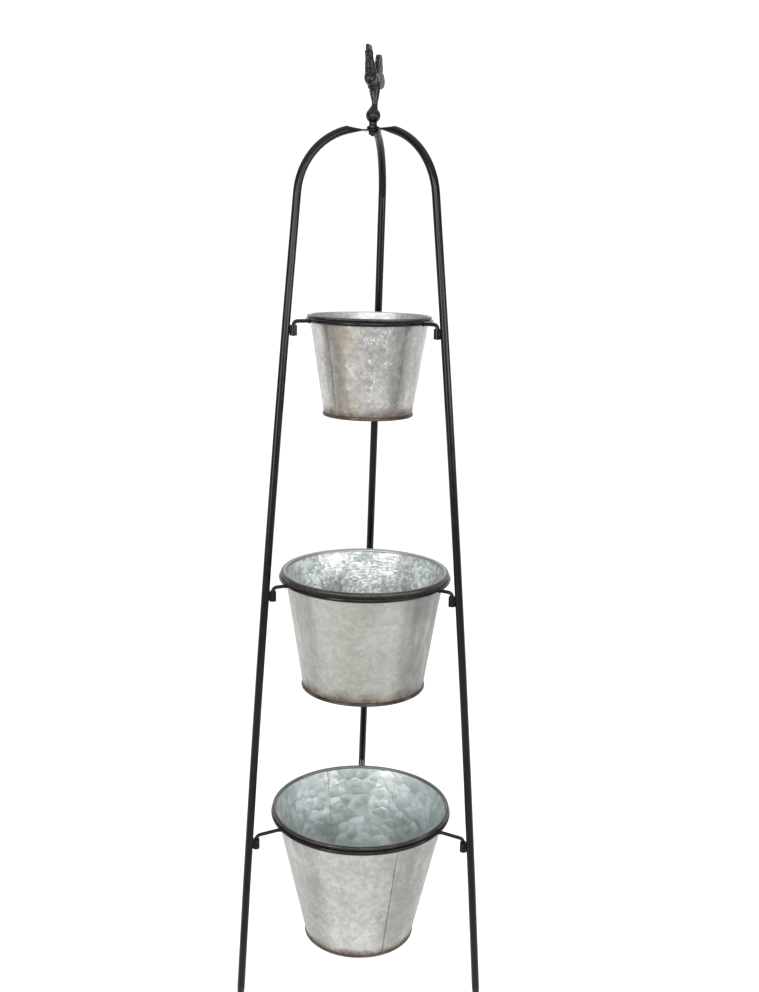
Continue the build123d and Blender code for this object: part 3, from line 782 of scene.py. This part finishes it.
def build_cockerel():
    """Cast cockerel: body, hackles, comb, wattles, folded wings and sickle feathers."""
    clay = Clay()
    clay.limb([(0, 0, -5), (-1, 1, 1), (-2, 1.6, 5), (-2, 1.5, 12), (-3, 1.0, 20), (-3, 0.5, 30),
               (0, 0, 40)], [9.0, 6.2, 4.9, 5.4, 7.6, 9.6, 10.4], 0.95)
    clay.blob((5, 0, 43), (20, 9.6, 12), 26)
    clay.blob((6, -1, 34), (8, 7, 8), 40)
    clay.blob((15, 0, 44), (12, 9.8, 14), 62)
    clay.limb([(14, 0, 50), (19, 0, 60), (22.5, 0, 69), (24, 0, 75)], [9.6, 8.0, 6.8, 6.4], 0.98)
    clay.blob((24, 0, 77), (7.6, 6.6, 7.4), 5)
    clay.limb([(28, 0, 76.5), (32, 0, 75.3), (35.6, 0, 73.6)], [3.2, 2.0, 0.8], 0.85)
    wing = ((-6, 32), (2, 34), (8, 43), (2, 52), (-12, 57), (-26, 53), (-33, 43), (-28, 34), (-16, 30))
    for hand in (-1, 1):
        clay.blob((27.5, hand * 2.4, 68.5), (2.9, 1.9, 4.8), 10)
        clay.blob((26.6, hand * 5.3, 79.0), (1.7, 1.2, 1.7))
        clay.slab(wing, hand * 5.4, 4.4)
        for row, length in enumerate((11, 10, 8)):
            clay.blob((-13 - 2 * row, hand * 7.3, 36 + 4.8 * row), (length, 0.8, 1.9), -24)
        for row in range(4):
            clay.blob((14 + 2.0 * row, hand * (7.6 - 0.6 * row), 48 + 5.2 * row), (3.0, 1.6, 6.0), 62)
    for ahead, top in ((16.5, 91.0), (21.0, 91.6), (25.5, 91.6), (30.0, 91.6), (34.0, 90.6)):
        clay.limb([(ahead - 0.4, 0, 82), (ahead, 0, top - 2.0)], [2.5, 2.0], 1.0, 5)
    comb = ((13, 81), (15, 87), (24, 89), (33, 88), (35, 83), (28, 78), (18, 78))
    tail = ((-8, 46), (-10, 62), (-11, 76), (-15, 81), (-26, 82.5), (-32, 79), (-34, 64), (-31, 46))
    clay.slab(comb, 0, 4.2)
    clay.slab(tail, 0.4, 4.8)
    feathers = (((-9, 52), (-12, 66), (-18, 79), (-27, 80.5), (-33, 73)),
                ((-10, 48), (-17, 61), (-25, 71), (-32, 67), (-35, 57)),
                ((-9, 45), (-20, 54), (-29, 59), (-34, 53), (-34, 44)))
    for feather in feathers:
        for hand in (-1, 1):
            clay.limb([(ahead, 0.4 + hand * 1.9, up) for ahead, up in feather], [3.4, 3.0, 2.6, 2.2, 1.4],
                      0.5)
    cast = clay.fused()
    normals = [vertex.normal.copy() for vertex in cast.vertices]
    for vertex, normal in zip(cast.vertices, normals):
        vertex.co += normal * (noise.noise(vertex.co / MM * 0.3) * GRAIN)
    finish_mesh("cockerel_casting", cast, (CASTING,), "finial", ["cockerel"])


for tier in TIERS:
    bucket = Bucket(tier)
    build_wall(bucket)
    build_rim(bucket)
    build_hem(bucket)
    build_pan(bucket)
    for side in SIDES:
        build_welds(tier, side)
build_nut()
build_stud()
build_ball()
build_cockerel()


# ---- floor, light and camera ------------------------------------------------------------------------
FLOOR_RADIUS = 14.0
GREY_UP_TO, WHITE_FROM = -0.55, -0.13      # Y from the stand's axis
# Strength of the floor's painted glow behind the stand.
FLOOR_GLOW = 0.48
# Brightness of the studio by direction: axis, from, to, brightness at from and at to. They add up.
STUDIO = (("Y", 0.60, 0.86, 0.0, 0.70),        # white wall behind the stand
          ("Y", -0.35, -0.95, 0.42, 0.66),     # the rest, a little brighter in front
          ("Z", 0.35, 0.90, 0.0, 0.90))        # overhead


def pale_floor():
    """Paper that glows white under and behind the stand as painted light, with no lamp beneath it, shading to
    pale grey in front of it.
    """
    g = Graph("pale_floor")
    depth = g.add("ShaderNodeSeparateXYZ", Vector=g.place).outputs["Y"]
    behind = g.ramp(depth, GREY_UP_TO, WHITE_FROM)
    mottled = g.mix(g.noise(3, 2), rgb(0.57, 0.57, 0.57), rgb(0.59, 0.59, 0.59))
    # The emission is a painted glow with no lamp, keeping the floor behind the stand white and free of shadow.
    return g.finish(Base_Color=g.mix(behind, mottled, rgb(0.64, 0.64, 0.64)), Roughness=0.8,
                    Specular_IOR_Level=0.1, Emission_Color=rgb(1.0, 1.0, 1.0),
                    Emission_Strength=g.math("MULTIPLY", behind, FLOOR_GLOW))


def build_floor():
    """Round floor, wide enough for every view."""
    mesh = bpy.data.meshes.new("floor")
    sheet = bmesh.new()
    bmesh.ops.create_circle(sheet, cap_ends=True, segments=128, radius=FLOOR_RADIUS)
    sheet.to_mesh(mesh)
    sheet.free()
    floor = bpy.data.objects.new("floor", mesh)
    scene.collection.objects.link(floor)
    mesh.materials.append(pale_floor())


def build_world():
    """Pale studio: white behind the stand and overhead, greyer at the sides and in front."""
    world = bpy.data.worlds.new("studio")
    world.use_nodes = True
    scene.world = world
    nodes, links = world.node_tree.nodes, world.node_tree.links
    nodes.clear()
    split = nodes.new("ShaderNodeSeparateXYZ")
    links.new(nodes.new("ShaderNodeTexCoord").outputs["Generated"], split.inputs[0])
    strength = None
    for axis, *limits in STUDIO:
        ramp = nodes.new("ShaderNodeMapRange")
        ramp.interpolation_type = "SMOOTHSTEP"
        for socket, value in zip(("From Min", "From Max", "To Min", "To Max"), limits):
            ramp.inputs[socket].default_value = value
        links.new(split.outputs[axis], ramp.inputs["Value"])
        if strength is None:
            strength = ramp.outputs["Result"]
        else:
            total = nodes.new("ShaderNodeMath")
            links.new(strength, total.inputs[0])
            links.new(ramp.outputs["Result"], total.inputs[1])
            strength = total.outputs[0]
    background = nodes.new("ShaderNodeBackground")
    background.inputs["Color"].default_value = rgb(1.0, 1.0, 1.0)
    links.new(strength, background.inputs["Strength"])
    links.new(background.outputs[0], nodes.new("ShaderNodeOutputWorld").inputs["Surface"])


def softbox(name, azimuth, distance, height, size, radiance, aim, spread=180):
    """Soft light at an azimuth and distance from the stand, aimed at a point on its axis."""
    light = bpy.data.lights.new(name, "AREA")
    light.shape = "RECTANGLE"
    light.size, light.size_y = size
    light.energy = radiance * pi * size[0] * size[1]
    light.spread = radians(spread)
    lamp = bpy.data.objects.new(name, light)
    lamp.location = AXIS + Vector((distance * cos(azimuth), distance * sin(azimuth), height))
    lamp.rotation_euler = (AXIS + Vector((0, 0, aim)) - lamp.location).to_track_quat("-Z", "Y").to_euler()
    lamp.visible_camera = False
    scene.collection.objects.link(lamp)


# The camera's height, distance and angle are those of a fit to the legs, rims and bases.
CAMERA_PLACE = AXIS + Vector((0.0216, -1.8661, 1.256))
CAMERA_PITCH = radians(12.276)
CAMERA_ROLL = radians(1.181)
CAMERA_LENS = 42.34
SENSOR_HEIGHT = 36.0


def build_camera():
    """Upright camera, tipped down by its pitch and then rolled."""
    data = bpy.data.cameras.new("camera")
    data.sensor_fit = "VERTICAL"
    data.sensor_height = SENSOR_HEIGHT
    data.lens = CAMERA_LENS
    ahead = Vector((0, cos(CAMERA_PITCH), -sin(CAMERA_PITCH)))
    level_right, level_up = Vector((1, 0, 0)), Vector((0, sin(CAMERA_PITCH), cos(CAMERA_PITCH)))
    right = level_right * cos(CAMERA_ROLL) + level_up * sin(CAMERA_ROLL)
    up = level_up * cos(CAMERA_ROLL) - level_right * sin(CAMERA_ROLL)
    camera = bpy.data.objects.new("camera", data)
    turn = Matrix((right, up, -ahead)).transposed().to_4x4()
    camera.matrix_world = Matrix.Translation(CAMERA_PLACE) @ turn
    scene.collection.objects.link(camera)
    scene.camera = camera


build_floor()
build_world()
# name, azimuth, distance, height, size, brightness, height aimed at, spread
softbox("key", radians(234), 2.6, 1.3, (0.9, 1.5), 7.5, 1.0)
softbox("front", radians(275), 2.9, 1.85, (2.3, 1.1), 4.6, 1.3)
softbox("right", radians(320), 2.9, 1.15, (1.9, 0.50), 8.0, 1.25)
softbox("side", radians(352), 1.0, 0.78, (0.15, 0.30), 0.7, 0.28, 35)
build_camera()
scene.view_settings.view_transform = "Standard"
